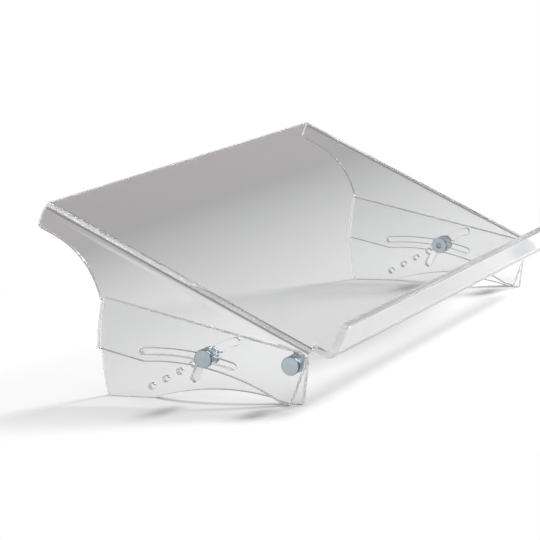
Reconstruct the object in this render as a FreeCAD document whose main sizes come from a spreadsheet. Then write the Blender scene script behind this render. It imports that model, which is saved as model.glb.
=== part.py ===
import FreeCAD, Part
import math
import os
import Sketcher

# Adjustable desk stand of clear acrylic: one bent tray that turns about two
# front bolts on a pair of legs, held at its slope by two clamp bolts.
# X runs along the width, Y towards the rear, Z up, with the desk at zero.

os.makedirs("parts", exist_ok=True)
doc = FreeCAD.newDocument("AdjustableStand")

# Driving sizes in millimetres, angles in degrees.
SIZES = (
    ("tray_width", 515.0),
    ("sheet_thick", 6.0),
    ("bend_inner", 3.0),
    ("wing_gap", 0.5),
    ("low_slope", 13.2),
    ("plate_rear", 245.9),
    ("plate_above", 18.0),
    ("ledge_ahead", 25.4),
    ("ledge_height", 26.0),
    ("ledge_inset", 18.0),
    ("ledge_corner", 2.5),
    ("relief_radius", 2.5),
    ("pivot_ahead", 89.3),
    ("pivot_height", 33.0),
    ("wing_lift", 0.6),
    ("rear_radius", 173.1),
    ("rear_foot", 42.6),
    ("arch_rise", 9.5),
    ("toe_ahead", 3.975),
    ("toe_length", 8.7),
    ("corner_round", 9.6),
    ("tip_depth", 21.0),
    ("tip_length", 17.9),
    ("curve_foot_angle", 11.5),
    ("slot_offset", 8.8),
    ("slot_spare", 0.4),
    ("stud_dia", 5.0),
    ("slot_clear", 0.25),
    ("channel_clear", 0.65),
    ("pivot_clear", 0.06),
    ("thread_clear", 0.05),
    ("seat_gap", 0.1),
    ("first_hole_behind", 2.075),
    ("first_hole_height", 9.5),
    ("last_hole_reach", 49.8),
    ("last_hole_height", 49.2),
    ("hole_count", 7.0),
    ("hole_in_use", 5.0),
    ("head_dia", 15.0),
    ("head_thick", 2.5),
    ("head_chamfer", 0.4),
    ("nut_dia", 15.0),
    ("nut_thick", 4.0),
    ("nut_recess", 0.8),
    ("nut_chamfer", 0.5),
    ("flute_count", 24.0),
    ("flute_radius", 0.7),
    ("cut_overrun", 20.0),
)

sizes = doc.addObject("Spreadsheet::Sheet", "Sizes")
for row, (alias, number) in enumerate(SIZES, start=1):
    sizes.set("A%d" % row, alias)
    sizes.set("B%d" % row, repr(number))
    sizes.setAlias("B%d" % row, alias)
doc.recompute()

# Sizes that follow from the driving ones, kept as formulas.
worked = doc.addObject("Spreadsheet::Sheet", "Worked")
worked_rows = []


def work_out(alias, formula):
    """Add one formula to the sheet of worked sizes and give back its reference."""
    worked_rows.append(alias)
    cell = "B%d" % len(worked_rows)
    worked.set("A%d" % len(worked_rows), alias)
    worked.set(cell, "=" + formula)
    worked.setAlias(cell, alias)
    return "Worked." + alias


def value_of(expression):
    """Number that an expression on the two sheets has now."""
    result = worked.evalExpression(expression)
    return float(getattr(result, "Value", result))


def rotated(name, reach, height):
    """Point of the leg's outline, given from the pivot, in the tray's sloping frame."""
    work_out(name + "_s", "%s * cos(Sizes.low_slope) + (%s) * sin(Sizes.low_slope)" % (reach, height))
    work_out(name + "_d", "(%s) * cos(Sizes.low_slope) - %s * sin(Sizes.low_slope)" % (height, reach))
    return "Worked." + name + "_s", "Worked." + name + "_d"


HALF_WIDTH = "Sizes.tray_width / 2"

# Foot line of the legs, as reaches behind the pivot: the rear foot hangs on the
# rear edge, the toe on the pivot, and the arch spans what lies between them.
work_out("rear_reach", "sqrt(Sizes.rear_radius ^ 2 - Sizes.pivot_height ^ 2)")
work_out("flat_reach", "Worked.rear_reach - Sizes.rear_foot")
work_out("toe_reach", "-Sizes.toe_ahead")
work_out("arch_end", "Worked.toe_reach + Sizes.toe_length")
work_out("arch_span", "Worked.flat_reach - Worked.arch_end")
work_out("arch_radius", "(Worked.arch_span ^ 2 / 4 + Sizes.arch_rise ^ 2) / (2 * Sizes.arch_rise)")
work_out("arch_reach", "Worked.flat_reach - Worked.arch_span / 2")
work_out("arch_drop", "Sizes.arch_rise - Worked.arch_radius - Sizes.pivot_height")

# Front edge, tangent to a round centred on the pivot.
work_out("toe_distance", "sqrt(Worked.toe_reach ^ 2 + Sizes.pivot_height ^ 2)")
work_out("front_turn", "atan(-Worked.toe_reach / Sizes.pivot_height) / 1 deg"
         " + acos(Sizes.corner_round / Worked.toe_distance) / 1 deg")
work_out("front_normal_y", "-sin(Worked.front_turn)")
work_out("front_normal_z", "-cos(Worked.front_turn)")
work_out("front_normal_s", "Worked.front_normal_y * cos(Sizes.low_slope)"
         " + Worked.front_normal_z * sin(Sizes.low_slope)")
work_out("front_normal_d", "Worked.front_normal_z * cos(Sizes.low_slope)"
         " - Worked.front_normal_y * sin(Sizes.low_slope)")

# Slot of the wings, concentric with their arch, and the row of holes in the legs.
work_out("slot_radius", "Worked.arch_radius + Sizes.slot_offset")
work_out("slot_width", "Sizes.stud_dia + 2 * Sizes.slot_clear")
work_out("arch_distance", "sqrt(Worked.arch_reach ^ 2 + Worked.arch_drop ^ 2)")
work_out("arch_angle", "atan(Worked.arch_drop / Worked.arch_reach) / 1 deg")
work_out("first_hole_reach", "Worked.flat_reach + Sizes.first_hole_behind")
work_out("hole_step_reach", "(Sizes.last_hole_reach - Worked.first_hole_reach) / (Sizes.hole_count - 1)")
work_out("hole_step_height", "(Sizes.last_hole_height - Sizes.first_hole_height) / (Sizes.hole_count - 1)")


def setting(name, number):
    """Tilt and place along the slot when the clamp sits in one hole of the row."""
    ref = "Worked." + name
    work_out(name + "_reach", "Worked.first_hole_reach + (%s - 1) * Worked.hole_step_reach" % number)
    work_out(name + "_height", "Sizes.first_hole_height + (%s - 1) * Worked.hole_step_height" % number)
    work_out(name + "_rise", "%s_height - Sizes.pivot_height" % ref)
    work_out(name + "_radius", "sqrt(%s_reach ^ 2 + %s_rise ^ 2)" % (ref, ref))
    work_out(name + "_corner", "acos((%s_radius ^ 2 + Worked.arch_distance ^ 2 - Worked.slot_radius ^ 2)"
             " / (2 * %s_radius * Worked.arch_distance)) / 1 deg" % (ref, ref))
    work_out(name + "_low", "Worked.arch_angle + %s_corner" % ref)
    work_out(name + "_tilt", "atan(%s_rise / %s_reach) / 1 deg - %s_low" % (ref, ref, ref))
    work_out(name + "_turn", "asin((%s_radius * cos(%s_low) - Worked.arch_reach)"
             " / Worked.slot_radius) / 1 deg" % (ref, ref))


setting("first", "1")
setting("used", "Sizes.hole_in_use")
setting("last", "Sizes.hole_count")
work_out("clamp_ratio", "(Worked.last_turn - Worked.used_turn) / (Worked.last_tilt - Worked.used_tilt)")

# Path of the clamp studs in the legs: ends and middle, then the circle through them.
work_out("half_width_channel", "Sizes.stud_dia / 2 + Sizes.channel_clear")


def path_point(name, tilt):
    """Place of the clamp stud from the pivot, in the leg's frame, at one tilt."""
    ref = "Worked." + name
    work_out(name + "_along", "Worked.used_turn + Worked.clamp_ratio * (%s - Worked.used_tilt)" % tilt)
    work_out(name + "_q", "Worked.arch_reach + Worked.slot_radius * sin(%s_along)" % ref)
    work_out(name + "_w", "Worked.arch_drop + Worked.slot_radius * cos(%s_along)" % ref)
    work_out(name + "_y", "%s_q * cos(%s) - %s_w * sin(%s)" % (ref, tilt, ref, tilt))
    work_out(name + "_z", "%s_q * sin(%s) + %s_w * cos(%s)" % (ref, tilt, ref, tilt))


path_point("start", "Worked.first_tilt")
path_point("middle", "((Worked.first_tilt + Worked.last_tilt) / 2)")
path_point("finish", "Worked.last_tilt")
work_out("start_square", "Worked.start_y ^ 2 + Worked.start_z ^ 2")
work_out("middle_square", "Worked.middle_y ^ 2 + Worked.middle_z ^ 2")
work_out("finish_square", "Worked.finish_y ^ 2 + Worked.finish_z ^ 2")
work_out("path_area", "2 * (Worked.start_y * (Worked.middle_z - Worked.finish_z)"
         " + Worked.middle_y * (Worked.finish_z - Worked.start_z)"
         " + Worked.finish_y * (Worked.start_z - Worked.middle_z))")
work_out("channel_y", "(Worked.start_square * (Worked.middle_z - Worked.finish_z)"
         " + Worked.middle_square * (Worked.finish_z - Worked.start_z)"
         " + Worked.finish_square * (Worked.start_z - Worked.middle_z)) / Worked.path_area")
work_out("channel_z", "(Worked.start_square * (Worked.finish_y - Worked.middle_y)"
         " + Worked.middle_square * (Worked.start_y - Worked.finish_y)"
         " + Worked.finish_square * (Worked.middle_y - Worked.start_y)) / Worked.path_area")
work_out("channel_radius", "sqrt((Worked.start_y - Worked.channel_y) ^ 2"
         " + (Worked.start_z - Worked.channel_z) ^ 2)")
work_out("outer_share", "1 + Worked.half_width_channel / Worked.channel_radius")
work_out("inner_share", "1 - Worked.half_width_channel / Worked.channel_radius")
doc.recompute()


def new_body(label):
    """Empty body with its own label."""
    body = doc.addObject("PartDesign::Body", label)
    body.Label = label
    return body


def new_sketch(body, name, role, offset=None):
    """Sketch on one of the body's own planes, moved along its normal by an expression."""
    sketch = body.newObject("Sketcher::SketchObject", name)
    for plane in body.Origin.OriginFeatures:
        if plane.Role == role:
            sketch.AttachmentSupport = (plane, [""])
    sketch.MapMode = "FlatFace"
    if offset is not None:
        sketch.setExpression("AttachmentOffset.Base.z", offset)
    doc.recompute()
    return sketch


def hold_point(sketch, index, position, across, along):
    """Fix one point of a sketch at two expressions; None puts it on that axis."""
    if across is None:
        sketch.addConstraint(Sketcher.Constraint("PointOnObject", index, position, -2))
    else:
        held = sketch.addConstraint(
            Sketcher.Constraint("DistanceX", -1, 1, index, position, value_of(across)))
        sketch.setExpression("Constraints[%d]" % held, across)
    if along is None:
        sketch.addConstraint(Sketcher.Constraint("PointOnObject", index, position, -1))
    else:
        held = sketch.addConstraint(
            Sketcher.Constraint("DistanceY", -1, 1, index, position, value_of(along)))
        sketch.setExpression("Constraints[%d]" % held, along)


def add_outline(sketch, corners, arcs):
    """Closed outline through corners held at expressions.

    arcs maps an edge's number to its radius expression and to which side of
    the way from its start to its end the centre lies, 1 for left, -1 for right.
    """
    points = []
    for across, along in corners:
        u = 0.0 if across is None else value_of(across)
        v = 0.0 if along is None else value_of(along)
        points.append(FreeCAD.Vector(u, v, 0))
    ends = []
    for number, start in enumerate(points):
        finish = points[(number + 1) % len(points)]
        if number not in arcs:
            sketch.addGeometry(Part.LineSegment(start, finish), False)
            ends.append((1, 2))
            continue
        radius = value_of(arcs[number][0])
        side = arcs[number][1]
        chord = finish - start
        half = chord.Length / 2
        rise = math.sqrt(max(radius * radius - half * half, 0.0))
        left = FreeCAD.Vector(-chord.y, chord.x, 0).normalize()
        centre = start + chord * 0.5 + left * rise * side
        first, second = (start, finish) if side > 0 else (finish, start)
        from_angle = math.atan2(first.y - centre.y, first.x - centre.x)
        to_angle = math.atan2(second.y - centre.y, second.x - centre.x)
        if to_angle < from_angle:
            to_angle += 2 * math.pi
        circle = Part.Circle(centre, FreeCAD.Vector(0, 0, 1), radius)
        sketch.addGeometry(Part.ArcOfCircle(circle, from_angle, to_angle), False)
        ends.append((1, 2) if side > 0 else (2, 1))
    for number, (across, along) in enumerate(corners):
        following = (number + 1) % len(corners)
        sketch.addConstraint(Sketcher.Constraint(
            "Coincident", number, ends[number][1], following, ends[following][0]))
        hold_point(sketch, number, ends[number][0], across, along)
    for number, (expression, side) in arcs.items():
        held = sketch.addConstraint(Sketcher.Constraint("Radius", number, value_of(expression)))
        sketch.setExpression("Constraints[%d]" % held, expression)


def add_circles(sketch, circles):
    """Full circles, each from its two centre expressions and its radius expression."""
    for across, along, radius in circles:
        u = 0.0 if across is None else value_of(across)
        v = 0.0 if along is None else value_of(along)
        circle = Part.Circle(FreeCAD.Vector(u, v, 0), FreeCAD.Vector(0, 0, 1), value_of(radius))
        index = sketch.addGeometry(circle, False)
        if across is None and along is None:
            sketch.addConstraint(Sketcher.Constraint("Coincident", index, 3, -1, 1))
        else:
            hold_point(sketch, index, 3, across, along)
        held = sketch.addConstraint(Sketcher.Constraint("Radius", index, value_of(radius)))
        sketch.setExpression("Constraints[%d]" % held, radius)


def pad(body, name, sketch, length):
    """Pad a sketch along its normal by an expression."""
    feature = body.newObject("PartDesign::Pad", name)
    feature.Profile = sketch
    feature.setExpression("Length", length)
    doc.recompute()
    return feature


def pocket(body, name, sketch, length, reverse=True):
    """Pocket a sketch by an expression and check that it took material away."""
    before = body.Shape.Volume
    feature = body.newObject("PartDesign::Pocket", name)
    feature.Profile = sketch
    feature.Reversed = reverse
    feature.setExpression("Length", length)
    doc.recompute()
    if not body.Shape.Volume < before:
        raise RuntimeError("the pocket %s cuts nothing" % name)
    return feature


def place(body, base, turn=None, axis=None):
    """Place a body by three expressions and, where wanted, a turn about one axis."""
    rotation = FreeCAD.Rotation()
    if axis is not None:
        rotation = FreeCAD.Rotation(axis, value_of(turn))
    start = FreeCAD.Vector(*(0.0 if item is None else value_of(item) for item in base))
    body.Placement = FreeCAD.Placement(start, rotation)
    for letter, item in zip("xyz", base):
        if item is not None:
            body.setExpression("Placement.Base." + letter, item)
    if axis is not None:
        body.setExpression("Placement.Rotation.Angle", "(%s) * 1 deg" % turn)
    doc.recompute()


SIDEWAYS = FreeCAD.Vector(1, 0, 0)
UPRIGHT = FreeCAD.Vector(0, 0, 1)

# The tray: one sheet, bent down along both sides and up along the front.
work_out("outer_bend", "Sizes.bend_inner + Sizes.sheet_thick")
work_out("under_face", "Sizes.plate_above - Sizes.sheet_thick")
work_out("tip_line", "Sizes.plate_above - Sizes.tip_depth")
work_out("curve_foot_s", "Sizes.rear_radius * cos(Sizes.curve_foot_angle)")
work_out("curve_foot_d", "-Sizes.rear_radius * sin(Sizes.curve_foot_angle)")
work_out("curve_start", "Sizes.plate_rear - Sizes.tip_length")
work_out("curve_radius", "((Worked.curve_start - Worked.curve_foot_s) ^ 2"
         " + (Worked.tip_line - Worked.curve_foot_d) ^ 2)"
         " / (2 * (Worked.tip_line - Worked.curve_foot_d))")
work_out("wing_foot", "Sizes.wing_lift - Sizes.pivot_height")
work_out("wing_reach", "sqrt(Sizes.rear_radius ^ 2 - Worked.wing_foot ^ 2)")
rear_corner = rotated("rear_corner", "Worked.wing_reach", "Worked.wing_foot")
flat_corner = rotated("flat_corner", "Worked.flat_reach", "Worked.wing_foot")
arch_corner = rotated("arch_corner", "Worked.arch_end", "Worked.wing_foot")
toe_corner = rotated("toe_corner", "Worked.toe_reach", "Worked.wing_foot")
slot_centre = rotated("slot_centre", "Worked.arch_reach", "Worked.arch_drop")
work_out("over_top", "Sizes.plate_above + Sizes.cut_overrun")
work_out("front_over_top", "(Sizes.corner_round - Worked.over_top * Worked.front_normal_d)"
         " / Worked.front_normal_s")
work_out("wing_front", "(Sizes.corner_round - Sizes.plate_above * Worked.front_normal_d)"
         " / Worked.front_normal_s")
work_out("under_wing", "Worked.rear_corner_d - Sizes.sheet_thick")
work_out("below_all", "Worked.under_wing - Sizes.cut_overrun")
work_out("ahead_all", "-Sizes.ledge_ahead - Sizes.cut_overrun")
work_out("behind_all", "Sizes.plate_rear + Sizes.cut_overrun")
work_out("across_all", "Sizes.tray_width + 2 * Sizes.cut_overrun")
doc.recompute()

tray = new_body("tray")
section = new_sketch(tray, "channel_section", "XZ_Plane", "-Sizes.plate_rear")
LEFT = "-" + HALF_WIDTH
RIGHT = HALF_WIDTH
LEFT_IN = "-(%s - Sizes.sheet_thick)" % HALF_WIDTH
RIGHT_IN = "(%s - Sizes.sheet_thick)" % HALF_WIDTH
LEFT_BEND = "-(%s - Worked.outer_bend)" % HALF_WIDTH
RIGHT_BEND = "(%s - Worked.outer_bend)" % HALF_WIDTH
BEND_FOOT = "(Sizes.plate_above - Worked.outer_bend)"
add_outline(section, [
    (RIGHT, "Worked.under_wing"),
    (RIGHT, BEND_FOOT),
    (RIGHT_BEND, "Sizes.plate_above"),
    (LEFT_BEND, "Sizes.plate_above"),
    (LEFT, BEND_FOOT),
    (LEFT, "Worked.under_wing"),
    (LEFT_IN, "Worked.under_wing"),
    (LEFT_IN, BEND_FOOT),
    (LEFT_BEND, "Worked.under_face"),
    (RIGHT_BEND, "Worked.under_face"),
    (RIGHT_IN, BEND_FOOT),
    (RIGHT_IN, "Worked.under_wing"),
], {
    1: ("Worked.outer_bend", 1),
    3: ("Worked.outer_bend", 1),
    7: ("Sizes.bend_inner", -1),
    9: ("Sizes.bend_inner", -1),
})
pad(tray, "channel", section, "Sizes.plate_rear + Sizes.ledge_ahead")

wings = new_sketch(tray, "wing_outline", "YZ_Plane", "-(Worked.across_all) / 2")
add_outline(wings, [
    ("Worked.behind_all", "Worked.tip_line"),
    ("Worked.curve_start", "Worked.tip_line"),
    ("Worked.curve_foot_s", "Worked.curve_foot_d"),
    rear_corner,
    flat_corner,
    arch_corner,
    toe_corner,
    ("Worked.front_over_top", "Worked.over_top"),
    ("Worked.ahead_all", "Worked.over_top"),
    ("Worked.ahead_all", "Worked.below_all"),
    ("Worked.behind_all", "Worked.below_all"),
], {
    1: ("Worked.curve_radius", 1),
    2: ("Sizes.rear_radius", -1),
    4: ("Worked.arch_radius", 1),
})
pocket(tray, "wing_cut", wings, "Worked.across_all")

INSET_WIDTH = "(Sizes.tray_width - 2 * Sizes.ledge_inset)"
tongue = new_sketch(tray, "ledge_profile", "YZ_Plane", "-%s / 2" % INSET_WIDTH)
add_outline(tongue, [
    (None, "Worked.under_face"),
    (None, "Sizes.plate_above"),
    ("-(Sizes.ledge_ahead - Worked.outer_bend)", "Sizes.plate_above"),
    ("-(Sizes.ledge_ahead - Sizes.sheet_thick)", "Sizes.plate_above + Sizes.bend_inner"),
    ("-(Sizes.ledge_ahead - Sizes.sheet_thick)", "Sizes.plate_above + Sizes.ledge_height"),
    ("-Sizes.ledge_ahead", "Sizes.plate_above + Sizes.ledge_height"),
    ("-Sizes.ledge_ahead", "Sizes.plate_above + Sizes.bend_inner"),
    ("-(Sizes.ledge_ahead - Worked.outer_bend)", "Worked.under_face"),
], {
    2: ("Sizes.bend_inner", -1),
    6: ("Worked.outer_bend", 1),
})
pad(tray, "ledge", tongue, INSET_WIDTH)

SLOT_REAR = "(Worked.first_turn + Sizes.low_slope)"
SLOT_FRONT = "(Worked.last_turn + Sizes.low_slope)"
SPARE = "(Sizes.slot_spare / Worked.slot_radius * 180 / pi)"


def on_slot(shift, angle):
    """Two expressions for a point at an angle round the slot's centre."""
    radius = "(Worked.slot_radius + (%s))" % shift
    return (slot_centre[0] + " + %s * sin%s" % (radius, angle),
            slot_centre[1] + " + %s * cos%s" % (radius, angle))


REAR_END = "(%s + %s)" % (SLOT_REAR, SPARE)
FRONT_END = "(%s - %s)" % (SLOT_FRONT, SPARE)
slot = new_sketch(tray, "slot_band", "YZ_Plane", "-(Worked.across_all) / 2")
add_outline(slot, [
    on_slot("Worked.slot_width / 2", REAR_END),
    on_slot("Worked.slot_width / 2", FRONT_END),
    on_slot("-Worked.slot_width / 2", FRONT_END),
    on_slot("-Worked.slot_width / 2", REAR_END),
], {
    0: ("Worked.slot_radius + Worked.slot_width / 2", 1),
    2: ("Worked.slot_radius - Worked.slot_width / 2", -1),
})
pocket(tray, "slots", slot, "Worked.across_all")
rounds = new_sketch(tray, "round_openings", "YZ_Plane", "-(Worked.across_all) / 2")
add_circles(rounds, [
    (None, None, "Sizes.stud_dia / 2 + Sizes.pivot_clear"),
    on_slot("0", REAR_END) + ("Worked.slot_width / 2",),
    on_slot("0", FRONT_END) + ("Worked.slot_width / 2",),
])
pocket(tray, "round_cuts", rounds, "Worked.across_all")
relief = new_sketch(tray, "relief_rounds", "XY_Plane", "Worked.over_top")
INSET_EDGE = "(%s - Sizes.ledge_inset + Sizes.relief_radius)" % HALF_WIDTH
add_circles(relief, [
    ("-" + INSET_EDGE, "Worked.wing_front", "Sizes.relief_radius"),
    (INSET_EDGE, "Worked.wing_front", "Sizes.relief_radius"),
])
pocket(tray, "relief_cuts", relief, "Sizes.cut_overrun + 2 * Sizes.sheet_thick", reverse=False)


def edges_of(body, wanted):
    """Names of a body's straight edges that a test on middle and direction accepts."""
    names = []
    for number, edge in enumerate(body.Shape.Edges, start=1):
        if edge.Curve.TypeId != "Part::GeomLine":
            continue
        way = edge.Vertexes[-1].Point - edge.Vertexes[0].Point
        if wanted(edge.CenterOfMass, way.normalize()):
            names.append("Edge%d" % number)
    return names


def at_ledge_corner(middle, way):
    """True for the short edges at the ledge's top corners."""
    top = value_of("Sizes.plate_above + Sizes.ledge_height")
    half = value_of(INSET_WIDTH + " / 2")
    near = value_of("Sizes.relief_radius") / 4
    return abs(way.y) > 0.99 and abs(middle.z - top) < near and abs(abs(middle.x) - half) < near


corner_edges = edges_of(tray, at_ledge_corner)
if len(corner_edges) != 2:
    raise RuntimeError("the ledge has %d corner edges" % len(corner_edges))
cut_tray = tray.Tip
rounding = tray.newObject("PartDesign::Fillet", "ledge_rounds")
rounding.Base = (cut_tray, corner_edges)
rounding.setExpression("Radius", "Sizes.ledge_corner")
doc.recompute()
place(tray, (None, "-Sizes.pivot_ahead", "Sizes.pivot_height"),
      "Sizes.low_slope + Worked.used_tilt", SIDEWAYS)

# The two legs, flat sheets inside the wings.
CORNER_TOP = ("-Sizes.corner_round * sin(Sizes.low_slope)",
              "Sizes.pivot_height + Sizes.corner_round * cos(Sizes.low_slope)")
CORNER_FRONT = ("Sizes.corner_round * Worked.front_normal_y",
                "Sizes.pivot_height + Sizes.corner_round * Worked.front_normal_z")
work_out("top_run", "sqrt(Sizes.rear_radius ^ 2 - Sizes.corner_round ^ 2)")
TOP_REAR = (CORNER_TOP[0] + " + Worked.top_run * cos(Sizes.low_slope)",
            CORNER_TOP[1] + " + Worked.top_run * sin(Sizes.low_slope)")
doc.recompute()


def channel_corner(name, share):
    """Corner of the channel's band at one end of the stud's path."""
    return ("Worked.channel_y + (Worked.%s_y - Worked.channel_y) * Worked.%s" % (name, share),
            "Sizes.pivot_height + Worked.channel_z"
            " + (Worked.%s_z - Worked.channel_z) * Worked.%s" % (name, share))


def make_leg(label, base_x):
    """One leg: outline, row of holes, channel for the clamp stud and pivot hole."""
    body = new_body(label)
    outline = new_sketch(body, label + "_outline", "YZ_Plane")
    add_outline(outline, [
        ("Worked.rear_reach", None),
        ("Worked.flat_reach", None),
        ("Worked.arch_end", None),
        ("Worked.toe_reach", None),
        CORNER_FRONT,
        CORNER_TOP,
        TOP_REAR,
    ], {
        1: ("Worked.arch_radius", 1),
        4: ("Sizes.corner_round", -1),
        6: ("Sizes.rear_radius", -1),
    })
    pad(body, label + "_sheet", outline, "Sizes.sheet_thick")
    through = "Sizes.sheet_thick + 2 * Sizes.cut_overrun"
    holes = new_sketch(body, label + "_holes", "YZ_Plane", "-Sizes.cut_overrun")
    circles = [(None, "Sizes.pivot_height", "Sizes.stud_dia / 2 + Sizes.pivot_clear")]
    for number in range(int(value_of("Sizes.hole_count"))):
        circles.append(("Worked.first_hole_reach + %d * Worked.hole_step_reach" % number,
                        "Sizes.first_hole_height + %d * Worked.hole_step_height" % number,
                        "Sizes.stud_dia / 2 + Sizes.slot_clear"))
    add_circles(holes, circles)
    pocket(body, label + "_hole_row", holes, through)
    band = new_sketch(body, label + "_channel", "YZ_Plane", "-Sizes.cut_overrun")
    add_outline(band, [
        channel_corner("start", "outer_share"),
        channel_corner("finish", "outer_share"),
        channel_corner("finish", "inner_share"),
        channel_corner("start", "inner_share"),
    ], {
        0: ("Worked.channel_radius + Worked.half_width_channel", 1),
        2: ("Worked.channel_radius - Worked.half_width_channel", -1),
    })
    pocket(body, label + "_channel_cut", band, through)
    caps = new_sketch(body, label + "_channel_ends", "YZ_Plane", "-Sizes.cut_overrun")
    add_circles(caps, [
        ("Worked.%s_y" % name, "Sizes.pivot_height + Worked.%s_z" % name, "Worked.half_width_channel")
        for name in ("start", "finish")])
    pocket(body, label + "_channel_end_cut", caps, through)
    place(body, (base_x, "-Sizes.pivot_ahead", None))
    return body


make_leg("left_leg", "-%s + Sizes.sheet_thick + Sizes.wing_gap" % HALF_WIDTH)
make_leg("right_leg", "%s - 2 * Sizes.sheet_thick - Sizes.wing_gap" % HALF_WIDTH)

# Bolts with flat round heads, their studs through both sheets and the nut.
work_out("stud_length", "2 * Sizes.sheet_thick + Sizes.wing_gap + 2 * Sizes.seat_gap"
         " + Sizes.nut_thick - Sizes.nut_recess")
doc.recompute()
HEAD_RADIUS = "Sizes.head_dia / 2"
STUD_RADIUS = "Sizes.stud_dia / 2"


def make_bolt(label, side, base_y, base_z):
    """One bolt turned about its own axis, head outside the wing."""
    body = new_body(label)
    profile = new_sketch(body, label + "_profile", "XY_Plane")
    add_outline(profile, [
        ("-Sizes.head_thick", None),
        ("-Sizes.head_thick", "%s - Sizes.head_chamfer" % HEAD_RADIUS),
        ("-Sizes.head_thick + Sizes.head_chamfer", HEAD_RADIUS),
        ("-Sizes.head_chamfer", HEAD_RADIUS),
        (None, "%s - Sizes.head_chamfer" % HEAD_RADIUS),
        (None, STUD_RADIUS),
        ("Worked.stud_length - Sizes.head_chamfer", STUD_RADIUS),
        ("Worked.stud_length", "%s - Sizes.head_chamfer" % STUD_RADIUS),
        ("Worked.stud_length", None),
    ], {})
    turned = body.newObject("PartDesign::Revolution", label + "_turned")
    turned.Profile = profile
    turned.ReferenceAxis = (profile, ["H_Axis"])
    turned.Angle = 360.0
    doc.recompute()
    if side < 0:
        place(body, ("-%s - Sizes.seat_gap" % HALF_WIDTH, base_y, base_z))
    else:
        place(body, ("%s + Sizes.seat_gap" % HALF_WIDTH, base_y, base_z), "180", UPRIGHT)
    return body


def make_nut(label, side, base_y, base_z):
    """One flat thumb nut with a fluted rim, inside the leg."""
    body = new_body(label)
    blank = new_sketch(body, label + "_blank", "XY_Plane")
    bore = "%s + Sizes.thread_clear" % STUD_RADIUS
    rim = "Sizes.nut_dia / 2"
    add_outline(blank, [
        (None, bore),
        ("Sizes.nut_thick", bore),
        ("Sizes.nut_thick", "%s - Sizes.nut_chamfer" % rim),
        ("Sizes.nut_thick - Sizes.nut_chamfer", rim),
        ("Sizes.nut_chamfer", rim),
        (None, "%s - Sizes.nut_chamfer" % rim),
    ], {})
    turned = body.newObject("PartDesign::Revolution", label + "_turned")
    turned.Profile = blank
    turned.ReferenceAxis = (blank, ["H_Axis"])
    turned.Angle = 360.0
    doc.recompute()
    flute = new_sketch(body, label + "_flute", "YZ_Plane", "-Sizes.cut_overrun")
    add_circles(flute, [(None, "%s + Sizes.flute_radius / 2" % rim, "Sizes.flute_radius")])
    cut = pocket(body, label + "_flute_cut", flute, "Sizes.nut_thick + 2 * Sizes.cut_overrun")
    ring = body.newObject("PartDesign::PolarPattern", label + "_flutes")
    ring.Originals = [cut]
    ring.Axis = (flute, ["N_Axis"])
    ring.Angle = 360.0
    ring.Occurrences = int(value_of("Sizes.flute_count"))
    body.Tip = ring
    doc.recompute()
    inside = "(2 * Sizes.sheet_thick + Sizes.wing_gap + Sizes.seat_gap)"
    if side < 0:
        place(body, ("-%s + %s" % (HALF_WIDTH, inside), base_y, base_z))
    else:
        place(body, ("%s - %s" % (HALF_WIDTH, inside), base_y, base_z), "180", UPRIGHT)
    return body


PIVOT = ("-Sizes.pivot_ahead", "Sizes.pivot_height")
CLAMP = ("-Sizes.pivot_ahead + Worked.used_reach", "Worked.used_height")
for side, name in ((-1, "left"), (1, "right")):
    make_bolt(name + "_pivot_bolt", side, *PIVOT)
    make_nut(name + "_pivot_nut", side, *PIVOT)
    make_bolt(name + "_clamp_bolt", side, *CLAMP)
    make_nut(name + "_clamp_nut", side, *CLAMP)

doc.recompute()
for item in doc.Objects:
    if "Invalid" in item.State or "Error" in item.State:
        raise RuntimeError("%s did not build: %s" % (item.Label, item.State))
for item in doc.Objects:
    if item.TypeId != "PartDesign::Body":
        continue
    if item.Shape.isNull() or not item.Shape.isValid():
        raise RuntimeError("the solid of %s is not valid" % item.Label)
    item.Shape.exportStep(os.path.join("parts", item.Label + ".step"))
    box = item.Shape.BoundBox
    print("%-18s x %8.2f %8.2f  y %8.2f %8.2f  z %8.2f %8.2f  volume %10.1f solids %d" % (
        item.Label, box.XMin, box.XMax, box.YMin, box.YMax, box.ZMin, box.ZMax,
        item.Shape.Volume, len(item.Shape.Solids)))
for name in ("first_tilt", "used_tilt", "last_tilt", "first_turn", "used_turn", "last_turn", "clamp_ratio"):
    print("%-12s %.4f" % (name, value_of("Worked." + name)))
print("slot centre s %.4f d %.4f" % (value_of(slot_centre[0]), value_of(slot_centre[1])))
print("wing front %.3f" % value_of("Worked.wing_front"))
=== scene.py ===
"""Looks of a clear acrylic document stand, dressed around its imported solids.

The bent tray, the two legs and the plated hardware each have a class that
builds and dresses their pieces. A small studio gives floor, light and camera.
All lengths are in metres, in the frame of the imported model.
"""

import logging
import math
from dataclasses import dataclass, field
from enum import Enum, IntEnum
from typing import List, Sequence, Tuple, Union

import bmesh
import bpy
from mathutils import Matrix, Vector
from mathutils.bvhtree import BVHTree


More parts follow.
